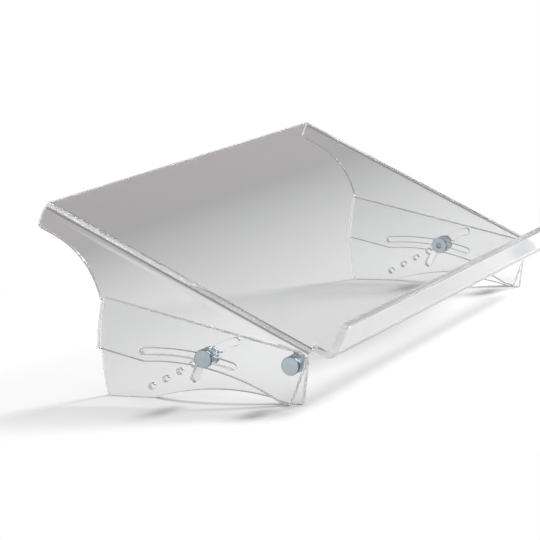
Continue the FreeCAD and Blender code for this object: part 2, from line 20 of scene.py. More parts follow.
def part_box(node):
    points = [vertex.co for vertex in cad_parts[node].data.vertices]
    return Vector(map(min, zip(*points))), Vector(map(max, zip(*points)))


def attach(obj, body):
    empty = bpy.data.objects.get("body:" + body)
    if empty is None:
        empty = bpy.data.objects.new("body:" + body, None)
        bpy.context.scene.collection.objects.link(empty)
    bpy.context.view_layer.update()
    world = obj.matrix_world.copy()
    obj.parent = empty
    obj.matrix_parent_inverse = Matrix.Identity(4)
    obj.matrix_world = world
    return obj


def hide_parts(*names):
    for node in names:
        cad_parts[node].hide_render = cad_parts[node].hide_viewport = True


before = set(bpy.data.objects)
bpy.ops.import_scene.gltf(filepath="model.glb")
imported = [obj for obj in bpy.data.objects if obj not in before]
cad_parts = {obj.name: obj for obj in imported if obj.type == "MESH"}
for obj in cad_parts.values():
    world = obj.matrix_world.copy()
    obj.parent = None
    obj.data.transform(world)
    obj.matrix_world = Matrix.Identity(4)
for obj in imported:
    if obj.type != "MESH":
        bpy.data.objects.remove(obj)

LOG = logging.getLogger("document_stand")
MM = 0.001
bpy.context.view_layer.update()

Colour = Tuple[float, float, float, float]
Place = Tuple[float, float, float]
Span = Tuple[float, float]
Outline = List[Tuple[float, float]]
Socket = bpy.types.NodeSocket
BMesh = bmesh.types.BMesh


class Side(Enum):
    """Side of the stand as its reader sees it."""

    LEFT = "left"
    RIGHT = "right"


class Station(Enum):
    """Where a bolt and its nut sit along the leg."""

    PIVOT = "pivot"
    CLAMP = "clamp"


class SheetFace(IntEnum):
    """Kinds of face on a sheet, numbered as the materials that they take."""

    CLEAR = 0
    CUT = 1
    BEND = 2


class Blend(Enum):
    """Kinds of value a Mix node blends: its data type, two input slots and output slot."""

    NUMBER = ("FLOAT", 2, 3, 0)
    COLOUR = ("RGBA", 6, 7, 2)


def link_object(name: str, data: bpy.types.ID) -> bpy.types.Object:
    """Puts a mesh, light or camera into the scene as an object at the origin.

    Args:
        name: Name of the new object.
        data: Its finished mesh, light or camera.

    Returns:
        The linked object.
    """
    item = bpy.data.objects.new(name, data)
    bpy.context.scene.collection.objects.link(item)
    return item


def mesh_from(name: str, shape: BMesh, smooth_below: float) -> bpy.types.Mesh:
    """Turns a bmesh into a mesh whose gentle edges are shaded smooth.

    Args:
        name: Name of the mesh.
        shape: The finished bmesh, which is freed.
        smooth_below: Angle in degrees under which an edge stays smooth.

    Returns:
        The mesh, with its sharp edges marked.
    """
    for face in shape.faces:
        face.smooth = True
    limit = math.radians(smooth_below)
    for edge in shape.edges:
        edge.smooth = len(edge.link_faces) == 2 and edge.calc_face_angle(0.0) < limit
    mesh = bpy.data.meshes.new(name)
    shape.to_mesh(mesh)
    shape.free()
    return mesh


class NodeBench:
    """Small helper that adds and joins shader nodes of one material or world."""

    def __init__(self, owner: Union[bpy.types.Material, bpy.types.World],
                 output: str = "ShaderNodeOutputMaterial") -> None:
        """Clears the nodes of a material or world and adds its output.

        Args:
            owner: The new material or world.
            output: Kind of its output node.
        """
        owner.use_nodes = True
        self.owner = owner
        self.tree = owner.node_tree
        self.tree.nodes.clear()
        self.output = self.add(output)

    def add(self, kind: str, **settings: object) -> bpy.types.Node:
        """Adds one node and sets its properties.

        Args:
            kind: Blender's name of the node's kind.
            settings: Properties to set on it.

        Returns:
            The new node.
        """
        node = self.tree.nodes.new(kind)
        for key, value in settings.items():
            setattr(node, key, value)
        return node

    def join(self, source: Socket, target: Socket) -> None:
        """Links an output socket to an input socket."""
        self.tree.links.new(source, target)

    def feed(self, value: Union[Socket, float, Colour], target: Socket) -> None:
        """Links a socket to an input, or writes a constant on it.

        Args:
            value: Output socket, number or colour.
            target: The input socket.
        """
        if isinstance(value, Socket):
            self.join(value, target)
        else:
            target.default_value = value

    def math(self, operation: str, first: Union[Socket, float],
             second: Union[Socket, float] = 0.0) -> Socket:
        """Adds a Math node.

        Args:
            operation: Blender's name of the operation.
            first: Socket or number for its first input.
            second: Socket or number for its second input.

        Returns:
            The node's output socket.
        """
        node = self.add("ShaderNodeMath", operation=operation)
        for slot, value in enumerate((first, second)):
            self.feed(value, node.inputs[slot])
        return node.outputs[0]

    def mix(self, blend: Blend, share: Socket, first: Union[Socket, Colour],
            second: Union[Socket, Colour]) -> Socket:
        """Adds a Mix node.

        Args:
            blend: Kind of value that it blends.
            share: Share of the second value, from 0 to 1.
            first: Socket or constant for the first value.
            second: Socket or constant for the second value.

        Returns:
            The node's output socket.
        """
        data_type, first_slot, second_slot, result = blend.value
        node = self.add("ShaderNodeMix", data_type=data_type)
        self.join(share, node.inputs[0])
        self.feed(first, node.inputs[first_slot])
        self.feed(second, node.inputs[second_slot])
        return node.outputs[result]

    def mix_shaders(self, share: Socket, first: Socket, second: Socket) -> Socket:
        """Mixes two shaders.

        Args:
            share: Share of the second shader, from 0 to 1.
            first: The first shader's socket.
            second: The second shader's socket.

        Returns:
            The mixed shader's socket.
        """
        node = self.add("ShaderNodeMixShader")
        for slot, source in enumerate((share, first, second)):
            self.join(source, node.inputs[slot])
        return node.outputs["Shader"]

    def placed(self, centre: Place = (0.0, 0.0, 0.0),
               scale: Place = (1.0, 1.0, 1.0)) -> Socket:
        """Object coordinates measured from a centre and scaled.

        Args:
            centre: Point of the model that becomes the pattern's origin.
            scale: Scale along the three axes.

        Returns:
            The vector socket.
        """
        where = self.add("ShaderNodeTexCoord")
        mapping = self.add("ShaderNodeMapping")
        mapping.inputs["Location"].default_value = [-c * s for c, s in zip(centre, scale)]
        mapping.inputs["Scale"].default_value = scale
        self.join(where.outputs["Object"], mapping.inputs["Vector"])
        return mapping.outputs["Vector"]

    def split(self, vector: Socket) -> Tuple[Socket, Socket, Socket]:
        """Takes a vector apart.

        Args:
            vector: The vector socket.

        Returns:
            The sockets of its X, Y and Z.
        """
        node = self.add("ShaderNodeSeparateXYZ")
        self.join(vector, node.inputs["Vector"])
        return tuple(node.outputs)

    def length(self, vector: Socket) -> Socket:
        """Measures a vector.

        Args:
            vector: The vector socket.

        Returns:
            The socket of its length.
        """
        node = self.add("ShaderNodeVectorMath", operation="LENGTH")
        self.join(vector, node.inputs[0])
        return node.outputs["Value"]

    def noise(self, vector: Socket, scale: float, detail: float) -> Socket:
        """Adds a noise pattern.

        Args:
            vector: Where the pattern is read.
            scale: Its scale in cells per metre.
            detail: Number of finer layers in it.

        Returns:
            The noise value's socket.
        """
        node = self.add("ShaderNodeTexNoise")
        node.inputs["Scale"].default_value = scale
        node.inputs["Detail"].default_value = detail
        self.join(vector, node.inputs["Vector"])
        return node.outputs["Fac"]

    def spread(self, value: Socket, low: float, high: float,
               from_low: float = 0.0, from_high: float = 1.0) -> Socket:
        """Maps a value from one range to another, clamped at both ends.

        Args:
            value: The value to map.
            low: Result at from_low.
            high: Result at from_high.
            from_low: Where the value's own range starts.
            from_high: Where it ends.

        Returns:
            The mapped value's socket.
        """
        node = self.add("ShaderNodeMapRange")
        node.inputs["From Min"].default_value = from_low
        node.inputs["From Max"].default_value = from_high
        node.inputs["To Min"].default_value = low
        node.inputs["To Max"].default_value = high
        self.join(value, node.inputs["Value"])
        return node.outputs["Result"]

    def bump(self, height: Socket, strength: float, distance: float) -> Socket:
        """Bends the normal by a height value.

        Args:
            height: The height's socket, from 0 to 1.
            strength: Share of the effect, from 0 to 1.
            distance: The full height in metres.

        Returns:
            The normal's socket.
        """
        node = self.add("ShaderNodeBump")
        node.inputs["Strength"].default_value = strength
        node.inputs["Distance"].default_value = distance
        self.join(height, node.inputs["Height"])
        return node.outputs["Normal"]


@dataclass(frozen=True)
class ClearAcrylic:
    """Cast acrylic sheet: clear, glossy, with a trace of haze, waves and dust.

    Scales count a pattern's cells per metre, and a band is the part of its values
    that is spread out. Touch by hands sets in at touched_from along Y and is full
    from touched_to on, at the ledge. lamp_pass is the share of lamp light that goes
    through the sheet.
    """

    name: str = "clear_acrylic_sheet"
    tint: Colour = (0.972, 0.975, 0.974, 1.0)
    clear_share: float = 1.0
    ior: float = 1.49
    haze_low: float = 0.0
    haze_high: float = 0.012
    haze_scale: float = 16.0
    haze_detail: float = 3.0
    haze_band: Span = (0.35, 0.75)
    wave_scale: float = 11.0
    wave_detail: float = 1.0
    wave_height: float = 0.02 * MM
    dust_scale: float = 150.0
    dust_reach: float = 0.055
    dust_roughness: float = 0.35
    touched_haze: float = 0.09
    touched_from: float = -100.0 * MM
    touched_to: float = -116.0 * MM
    lamp_pass: float = 0.93
    facing_blend: float = 0.5
    grazing_power: float = 5.0

    def lamp_light(self, bench: NodeBench, glass: Socket) -> Socket:
        """Lets lamp light through the sheet, less so where it strikes at a grazing angle.

        Args:
            bench: The material's node bench.
            glass: Shader socket that all other rays see.

        Returns:
            The mixed shader socket.
        """
        facing = bench.add("ShaderNodeLayerWeight")
        facing.inputs["Blend"].default_value = self.facing_blend
        lost = bench.math("POWER", facing.outputs["Facing"], self.grazing_power)
        passed = bench.math("MULTIPLY", bench.math("SUBTRACT", 1.0, lost), self.lamp_pass)
        colour = bench.add("ShaderNodeCombineColor")
        for channel in ("Red", "Green", "Blue"):
            bench.join(passed, colour.inputs[channel])
        through = bench.add("ShaderNodeBsdfTransparent")
        bench.join(colour.outputs["Color"], through.inputs["Color"])
        path = bench.add("ShaderNodeLightPath")
        shown = glass
        for kind in ("Is Shadow Ray", "Is Diffuse Ray"):
            shown = bench.mix_shaders(path.outputs[kind], shown, through.outputs["BSDF"])
        return shown

    def roughness(self, bench: NodeBench) -> Socket:
        """Roughness from soft haze, specks of dust and touch at the ledge.

        Args:
            bench: The material's node bench.

        Returns:
            The roughness socket.
        """
        space = bench.placed()
        clouds = bench.noise(space, self.haze_scale, self.haze_detail)
        haze = bench.spread(clouds, self.haze_low, self.haze_high, *self.haze_band)
        dust = bench.add("ShaderNodeTexVoronoi")
        dust.inputs["Scale"].default_value = self.dust_scale
        bench.join(space, dust.inputs["Vector"])
        speck = bench.spread(dust.outputs["Distance"], self.dust_roughness, 0.0,
                             0.0, self.dust_reach)
        _, behind, _ = bench.split(space)
        touched = bench.spread(behind, self.touched_haze, 0.0,
                               self.touched_to, self.touched_from)
        return bench.math("MAXIMUM", bench.math("ADD", haze, touched), speck)

    def relief(self, bench: NodeBench) -> Socket:
        """Normal bent by the sheet's slight waves."""
        waves = bench.noise(bench.placed(), self.wave_scale, self.wave_detail)
        return bench.bump(waves, 1.0, self.wave_height)

    def material(self) -> bpy.types.Material:
        """Builds the sheet's material.

        Returns:
            The node material.
        """
        bench = NodeBench(bpy.data.materials.new(self.name))
        shader = bench.add("ShaderNodeBsdfPrincipled")
        shader.inputs["Base Color"].default_value = self.tint
        shader.inputs["Transmission Weight"].default_value = self.clear_share
        shader.inputs["IOR"].default_value = self.ior
        bench.join(self.roughness(bench), shader.inputs["Roughness"])
        bench.join(self.relief(bench), shader.inputs["Normal"])
        shown = self.lamp_light(bench, shader.outputs["BSDF"])
        bench.join(shown, bench.output.inputs["Surface"])
        return bench.owner


@dataclass(frozen=True)
class PolishedCutEdge(ClearAcrylic):
    """Cut and polished edge of the sheet, with the faint marks of the cutter left in it."""

    name: str = "polished_cut_edge"
    tint: Colour = (0.955, 0.962, 0.960, 1.0)
    clear_share: float = 0.78
    lamp_pass: float = 0.35
    mark_scale: float = 420.0
    mark_stretch: Place = (0.06, 1.0, 1.0)
    mark_detail: float = 2.0
    mark_strength: float = 0.6
    mark_height: float = 0.006 * MM
    wear_scale: float = 64.0
    wear_detail: float = 3.0
    wear_band: Span = (0.3, 0.8)
    edge_roughness: Span = (0.015, 0.05)

    def roughness(self, bench: NodeBench) -> Socket:
        """Roughness from uneven polish and wear."""
        wear = bench.noise(bench.placed(), self.wear_scale, self.wear_detail)
        return bench.spread(wear, *self.edge_roughness, *self.wear_band)

    def relief(self, bench: NodeBench) -> Socket:
        """Normal bent by the cutter's marks, drawn out along X.

        Args:
            bench: The material's node bench.

        Returns:
            The normal's socket.
        """
        space = bench.placed(scale=self.mark_stretch)
        marks = bench.noise(space, self.mark_scale, self.mark_detail)
        return bench.bump(marks, self.mark_strength, self.mark_height)


@dataclass(frozen=True)
class FormedBend(ClearAcrylic):
    """Hot-bent part of the sheet, which turns much of the lamp light aside."""

    name: str = "formed_bend"
    wave_scale: float = 26.0
    wave_height: float = 0.03 * MM
    lamp_pass: float = 0.70


@dataclass(frozen=True)
class PlatedSteel:
    """Blue-grey zinc plating over turned steel, rings round the piece's axis, painted shade on
    its rim.
    """

    name: str
    centre: Place
    colour: Colour = (0.61, 0.68, 0.73, 1.0)
    patch_colour: Colour = (0.53, 0.61, 0.67, 1.0)
    patch_scale: float = 330.0
    patch_detail: float = 3.0
    patch_band: Span = (0.35, 0.7)
    roughness_low: float = 0.27
    roughness_high: float = 0.44
    grain_scale: float = 2600.0
    grain_detail: float = 2.0
    grain_band: Span = (0.3, 0.7)
    ring_pitch: float = 0.35 * MM
    ring_share: float = 0.35
    relief_strength: float = 0.5
    relief_height: float = 0.010 * MM
    # Painted shade: a dark colour on the outer rim, in place of its bright reflection.
    painted_rim_shade: Colour = (0.10, 0.13, 0.16, 1.0)
    rim_shade_from: float = 7.05 * MM
    rim_shade_to: float = 7.30 * MM

    def material(self) -> bpy.types.Material:
        """Builds the plating, its rings centred on the bolt's axis.

        Returns:
            The node material.
        """
        bench = NodeBench(bpy.data.materials.new(self.name))
        space = bench.placed(self.centre)
        patches = bench.noise(space, self.patch_scale, self.patch_detail)
        grain = bench.noise(space, self.grain_scale, self.grain_detail)
        patched = bench.spread(patches, 0.0, 1.0, *self.patch_band)
        plating = bench.mix(Blend.COLOUR, patched, self.colour, self.patch_colour)
        _, across, upward = bench.split(space)
        squares = [bench.math("MULTIPLY", part, part) for part in (across, upward)]
        radius = bench.math("SQRT", bench.math("ADD", *squares))
        rings = bench.math("SINE", bench.math("MULTIPLY", radius, math.tau / self.ring_pitch))
        height = bench.math("ADD", bench.math("MULTIPLY", rings, self.ring_share), grain)
        # Painted shade: near the outer rim the plating turns dark, in place of the rim's
        # reflection.
        rim_shade_share = bench.spread(radius, 0.0, 1.0, self.rim_shade_from, self.rim_shade_to)
        colour = bench.mix(Blend.COLOUR, rim_shade_share, plating, self.painted_rim_shade)
        rough = bench.spread(grain, self.roughness_low, self.roughness_high, *self.grain_band)
        relief = bench.bump(height, self.relief_strength, self.relief_height)
        shader = bench.add("ShaderNodeBsdfPrincipled")
        shader.inputs["Metallic"].default_value = 1.0
        bench.join(colour, shader.inputs["Base Color"])
        bench.join(rough, shader.inputs["Roughness"])
        bench.join(relief, shader.inputs["Normal"])
        bench.join(shader.outputs["BSDF"], bench.output.inputs["Surface"])
        return bench.owner


@dataclass(frozen=True)
class PaleNutPlating(PlatedSteel):
    """Lighter plating, as the thumb nuts have it."""

    colour: Colour = (0.76, 0.85, 0.90, 1.0)
    patch_colour: Colour = (0.68, 0.77, 0.83, 1.0)


@dataclass
class AcrylicPiece:
    """One piece of cut acrylic sheet, shown with its edges lightly eased.

    weld, shortest and seam are the lengths under which points and edges are merged,
    the first two in the solid's copy and the last after easing. lift is how far off
    a face the look across a hole starts. Angles are in degrees.
    """

    node: str
    body: str
    finishes: Sequence[bpy.types.Material]
    weld: float = 0.001 * MM
    shortest: float = 0.02 * MM
    seam: float = 0.002 * MM
    ease: float = 0.35 * MM
    ease_segments: int = 2
    ease_above: float = 40.0
    flat_within: float = 0.3
    smooth_below: float = 30.0
    lift: float = 0.01 * MM
    widest_hole: float = 70.0 * MM
    sideways: float = 0.7
    area_weight: int = 100

    def eased_copy(self) -> BMesh:
        """Merges a copy of the solid's mesh, clears its flat faces and eases its edges.

        Returns:
            The new bmesh.
        """
        shape = bmesh.new()
        shape.from_mesh(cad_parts[self.node].data)
        bmesh.ops.remove_doubles(shape, verts=shape.verts, dist=self.weld)
        bmesh.ops.dissolve_limit(shape, angle_limit=math.radians(self.flat_within),
                                 verts=shape.verts, edges=shape.edges)
        bmesh.ops.dissolve_degenerate(shape, dist=self.shortest, edges=shape.edges)
        self.round_corners(shape)
        limit = math.radians(self.ease_above)
        corners = [edge for edge in shape.edges if edge.calc_face_angle(0.0) > limit]
        bmesh.ops.bevel(shape, geom=corners, offset=self.ease, offset_type="OFFSET",
                        segments=self.ease_segments, profile=0.5, affect="EDGES",
                        material=-1, clamp_overlap=False)
        bmesh.ops.remove_doubles(shape, verts=shape.verts, dist=self.seam)
        bmesh.ops.dissolve_degenerate(shape, dist=self.seam, edges=shape.edges)
        bmesh.ops.recalc_face_normals(shape, faces=shape.faces)
        return shape

    def round_corners(self, shape: BMesh) -> None:
        """Rounds corners softened by hand, of which a plain piece has none."""

    def is_cut(self, middle: Vector, normal: Vector) -> bool:
        """Tells whether a face belongs to a cut edge of the sheet."""
        return abs(normal.x) < self.sideways

    def is_bend(self, normal: Vector) -> bool:
        """Tells whether a face that isn't cut belongs to a bend, which a flat piece lacks."""
        return False

    def kind_of(self, face: bmesh.types.BMFace, walls: BVHTree) -> SheetFace:
        """Tells which finish a face takes.

        A cut face that looks across a hole or slot at its other wall stays clear.

        Args:
            face: The face.
            walls: Tree of the whole piece, to look across holes.

        Returns:
            The kind of the face.
        """
        middle = face.calc_center_median()
        if self.is_cut(middle, face.normal):
            start = middle + face.normal * self.lift
            across = walls.ray_cast(start, face.normal, self.widest_hole)
            return SheetFace.CUT if across[0] is None else SheetFace.CLEAR
        return SheetFace.BEND if self.is_bend(face.normal) else SheetFace.CLEAR

    def build(self) -> bpy.types.Object:
        """Builds the piece, dresses it and lets it stand for its solid.

        Returns:
            The finished object.
        """
        shape = self.eased_copy()
        walls = BVHTree.FromBMesh(shape)
        for face in shape.faces:
            face.material_index = self.kind_of(face, walls)
        mesh = mesh_from(self.node + "_sheet", shape, self.smooth_below)
        for finish in self.finishes:
            mesh.materials.append(finish)
        piece = link_object(self.node + "_sheet", mesh)
        weighted = piece.modifiers.new("flat_faces", "WEIGHTED_NORMAL")
        weighted.keep_sharp = True
        weighted.weight = self.area_weight
        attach(piece, self.body)
        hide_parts(self.node)
        LOG.info("%s: %d faces on body %s", piece.name, len(mesh.polygons), self.body)
        return piece


@dataclass
class Leg(AcrylicPiece):
    """A flat leg inside one wing."""


@dataclass
class Tray(AcrylicPiece):
    """The bent sheet: sloping plate, two wings and the ledge.

    Only the pivot is given in the model's frame. All else is in the plate's own,
    which starts at the pivot and follows the slope. A tip is the lower rear corner
    of a wing.
    """

    pivot: Place = (0.0, -89.3 * MM, 33.0 * MM)
    slope: float = math.radians(26.6637)
    wing_inside: float = 251.4 * MM
    bend_foot: float = 9.0 * MM
    ledge_start: float = -8.6 * MM
    ledge_top: float = 43.0 * MM
    straight_above: float = 0.985
    facing_rear: float = 0.5
    tip_behind: float = 240.0 * MM
    tip_under: float = 0.0
    tip_shortest: float = 1.0 * MM
    tip_straight: float = 0.9
    tip_round: float = 4.0 * MM
    tip_segments: int = 6
    to_sheet: Matrix = field(init=False)

    def __post_init__(self) -> None:
        """Works out the way from the model's frame to the plate's own."""
        self.to_sheet = Matrix.Rotation(-self.slope, 3, "X")

    def in_sheet(self, point: Vector) -> Vector:
        """Place of a point in the plate's own frame, measured from the pivot."""
        return self.to_sheet @ (point - Vector(self.pivot))

    def round_corners(self, shape: BMesh) -> None:
        """Rounds the lower rear corner of each wing.

        Args:
            shape: The tray's bmesh, before its edges are eased.
        """
        tips = []
        for edge in shape.edges:
            first, second = (self.in_sheet(point.co) for point in edge.verts)
            width = abs(first.x - second.x)
            across = width > self.tip_straight * edge.calc_length() > self.tip_shortest
            if across and first.y > self.tip_behind and first.z < self.tip_under:
                tips.append(edge)
        bmesh.ops.bevel(shape, geom=tips, offset=self.tip_round, offset_type="OFFSET",
                        segments=self.tip_segments, profile=0.5, affect="EDGES",
                        material=-1, clamp_overlap=True)
        LOG.info("tray: %d rear corners rounded", len(tips))

    def is_cut(self, middle: Vector, normal: Vector) -> bool:
        """Tells whether a face belongs to a cut edge, in the plate's own frame.

        Args:
            middle: Middle of the face.
            normal: Its normal.

        Returns:
            True on the rims of the wings, the ledge and the plate.
        """
        place = self.in_sheet(middle)
        way = self.to_sheet @ normal
        if abs(place.x) > self.wing_inside and place.z < self.bend_foot:
            return abs(way.x) < self.sideways
        if place.y < self.ledge_start:
            on_top = way.z > self.sideways and place.z > self.ledge_top
            return abs(way.x) > self.sideways or on_top
        return abs(way.y) > self.facing_rear

    def is_bend(self, normal: Vector) -> bool:
        """Tells whether a normal lies between those of the plate, a wing and the ledge."""
        return max(abs(part) for part in self.to_sheet @ normal) < self.straight_above


@dataclass
class Hardware:
    """A turned piece of plated steel on a bolt's axis."""

    side: Side
    station: Station
    body: str
    finish: bpy.types.Material
    kind: str = "bolt"
    smooth_below: float = 35.0
    weld: float = 0.002 * MM

    @property
    def node(self) -> str:
        """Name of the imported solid."""
        return "%s_%s_%s" % (self.side.value, self.station.value, self.kind)

    def outer_face(self) -> Vector:
        """Finds the solid's face that points away from the stand.

        Returns:
            The middle of that face.
        """
        low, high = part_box(self.node)
        middle = (low + high) / 2.0
        middle.x = low.x if self.side is Side.LEFT else high.x
        return middle

    def turned(self, shape: BMesh, outline: Outline, steps: int,
               closed: bool = False) -> None:
        """Spins an outline about the local X axis into a closed solid.

        Args:
            shape: The bmesh that takes the solid.
            outline: Distances along the axis and from it.
            steps: Number of faces round the axis.
            closed: Whether the outline is a closed loop, and not one that ends on the axis.
        """
        points = [shape.verts.new((along, 0.0, away)) for along, away in outline]
        ends = points[1:] + points[:1] if closed else points[1:]
        edges = [shape.edges.new(pair) for pair in zip(points, ends)]
        bmesh.ops.spin(shape, geom=points + edges, cent=(0.0, 0.0, 0.0),
                       axis=(1.0, 0.0, 0.0), angle=math.tau, steps=steps, use_merge=True)
        bmesh.ops.remove_doubles(shape, verts=shape.verts, dist=self.weld)

    def shape(self) -> BMesh:
        """Builds the piece with its outer face at zero, pointing inward along X."""
        raise NotImplementedError

    def build(self) -> bpy.types.Object:
        """Builds the piece in place, dresses it and lets it stand for its solid.

        Returns:
            The finished object.
        """
        shape = self.shape()
        if self.side is Side.RIGHT:
            bmesh.ops.rotate(shape, verts=shape.verts, cent=(0.0, 0.0, 0.0),
                             matrix=Matrix.Rotation(math.pi, 3, "Z"))
        bmesh.ops.translate(shape, verts=shape.verts, vec=self.outer_face())
        bmesh.ops.recalc_face_normals(shape, faces=shape.faces)
        name = self.node + "_plated"
        mesh = mesh_from(name, shape, self.smooth_below)
        mesh.materials.append(self.finish)
        piece = link_object(name, mesh)
        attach(piece, self.body)
        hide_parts(self.node)
        LOG.info("%s: %d faces on body %s", piece.name, len(mesh.polygons), self.body)
        return piece


@dataclass
class FlatHeadBolt(Hardware):
    """Bolt with a flat round head and a threaded stud.

    The dish is the slight hollow of the head's face: floor and rim are shares of the
    head's radius, and the rim's depth one of the hollow's. The neck is a share of the
    stud's radius, the thread's shares are of its pitch, and the crest's is of half
    the thread's foot.
    """

    steps: int = 96
    head_radius: float = 7.5 * MM
    head_thick: float = 2.5 * MM
    head_ease: float = 0.22 * MM
    ease_steps: int = 4
    dish_depth: float = 0.06 * MM
    dish_floor_share: float = 0.45
    dish_rim_share: float = 0.85
    dish_rim_depth_share: float = 0.2
    length: float = 18.4 * MM
    stud_radius: float = 2.5 * MM
    neck_share: float = 1.12
    neck_length: float = 0.3 * MM
    end_ease: float = 0.5 * MM
    thread_depth: float = 0.42 * MM
    thread_pitch: float = 0.8 * MM
    thread_gap: float = 0.5 * MM
    thread_free_share: float = 1.4
    thread_half_share: float = 0.42
    crest_half_share: float = 0.15
    crest_under: float = 0.01 * MM
    foot_sunk: float = 0.02 * MM
    steps_a_turn: int = 24

    def head_outline(self) -> Outline:
        """Outline of head and stud's core, from the head's middle to the stud's end.

        Returns:
            Distances along the axis and from it.
        """
        reach, ease, thick = self.head_radius, self.head_ease, self.head_thick
        core, end = self.stud_radius - self.thread_depth, self.end_ease
        face = [
            (self.dish_depth, 0.0),
            (self.dish_depth, reach * self.dish_floor_share),
            (self.dish_depth * self.dish_rim_depth_share, reach * self.dish_rim_share),
        ]
        turns = [math.radians(90.0 * (1.0 - step / self.ease_steps))
                 for step in range(self.ease_steps + 1)]
        rounded = [(ease - ease * math.sin(turn), reach - ease + ease * math.cos(turn))
                   for turn in turns]
        stud = [
            (thick - ease * 0.5, reach),
            (thick, reach - ease * 0.5),
            (thick, self.stud_radius * self.neck_share),
            (thick + self.neck_length, core),
            (self.length - end, core),
            (self.length, core - end),
            (self.length, 0.0),
        ]
        return face + rounded + stud

    def add_thread(self, shape: BMesh) -> None:
        """Winds one ridge round the stud's core, from head to end.

        Args:
            shape: The bmesh that takes the thread, next to the turned core.
        """
        pitch = self.thread_pitch
        start = self.head_thick + self.thread_gap
        turns = int((self.length - start - pitch * self.thread_free_share) / pitch)
        foot = self.stud_radius - self.thread_depth - self.foot_sunk
        crest = self.stud_radius - self.crest_under
        half = pitch * self.thread_half_share
        corners = ((start, foot), (start + 2.0 * half, foot),
                   (start + half * (1.0 + self.crest_half_share), crest),
                   (start + half * (1.0 - self.crest_half_share), crest))
        points = [shape.verts.new((along, 0.0, away)) for along, away in corners]
        edges = [shape.edges.new(pair) for pair in zip(points, points[1:] + points[:1])]
        made = bmesh.ops.spin(shape, geom=points + edges, cent=(0.0, 0.0, 0.0),
                              axis=(1.0, 0.0, 0.0), dvec=(pitch / self.steps_a_turn, 0.0, 0.0),
                              angle=math.tau * turns, steps=turns * self.steps_a_turn,
                              use_merge=False)
        shape.faces.new(points)
        last = [item for item in made["geom_last"] if isinstance(item, bmesh.types.BMEdge)]
        bmesh.ops.contextual_create(shape, geom=last)

    def shape(self) -> BMesh:
        """Builds head, core and thread.

        Returns:
            The new bmesh.
        """
        shape = bmesh.new()
        self.turned(shape, self.head_outline(), self.steps)
        self.add_thread(shape)
        return shape


@dataclass
class FlutedNut(Hardware):
    """Flat thumb nut with a fluted rim and an eased bore.

    The web is the flat part between rim and bore, a little lower than the rim on the
    nut's inner face. Knees are the points where a rounding is halfway.
    """

    kind: str = "nut"
    radius: float = 7.5 * MM
    bore: float = 2.55 * MM
    thick: float = 4.0 * MM
    flutes: int = 24
    points_a_flute: int = 8
    flute_depth: float = 0.35 * MM
    flute_power: float = 1.5
    rim_ease: float = 0.45 * MM
    rim_knee_share: float = 0.3
    bore_ease: float = 0.5 * MM
    bore_lead_share: float = 0.8
    web_radius: float = 5.2 * MM
    web_dish: float = 0.25 * MM
    web_lip: float = 0.35 * MM
    web_knee: float = 0.10 * MM
    web_knee_share: float = 0.3

    def outline(self) -> Outline:
        """Outline of the nut's ring, as a closed loop.

        Returns:
            Distances along the axis and from it.
        """
        rim, soft, thick = self.radius, self.rim_ease, self.thick
        floor = thick - self.web_dish
        knee = soft * self.rim_knee_share
        lead = self.bore_ease * self.bore_lead_share
        return [
            (lead, self.bore),
            (0.0, self.bore + self.bore_ease),
            (0.0, rim - soft - self.flute_depth),
            (knee, rim - knee),
            (soft, rim),
            (thick * 0.5, rim),
            (thick - soft, rim),
            (thick - knee, rim - knee),
            (thick, rim - soft - self.flute_depth),
            (thick, self.web_radius + self.web_lip),
            (thick - self.web_dish * self.web_knee_share, self.web_radius + self.web_knee),
            (floor, self.web_radius),
            (floor, self.bore + self.bore_ease),
            (floor - lead, self.bore),
        ]

    def press_flutes(self, shape: BMesh) -> None:
        """Presses the flutes into the rim, all round.

        Args:
            shape: The turned ring about the local X axis.
        """
        for point in shape.verts:
            away = math.hypot(point.co.y, point.co.z)
            if away > self.radius - self.rim_ease * 0.5:
                turn = math.atan2(point.co.z, point.co.y) * self.flutes
                hollow = max(0.0, math.cos(turn)) ** self.flute_power * self.flute_depth
                point.co.y *= (away - hollow) / away
                point.co.z *= (away - hollow) / away

    def shape(self) -> BMesh:
        """Builds the nut as a turned ring and presses its flutes.

        Returns:
            The new bmesh.
        """
        shape = bmesh.new()
        self.turned(shape, self.outline(), self.flutes * self.points_a_flute, closed=True)
        self.press_flutes(shape)
        return shape


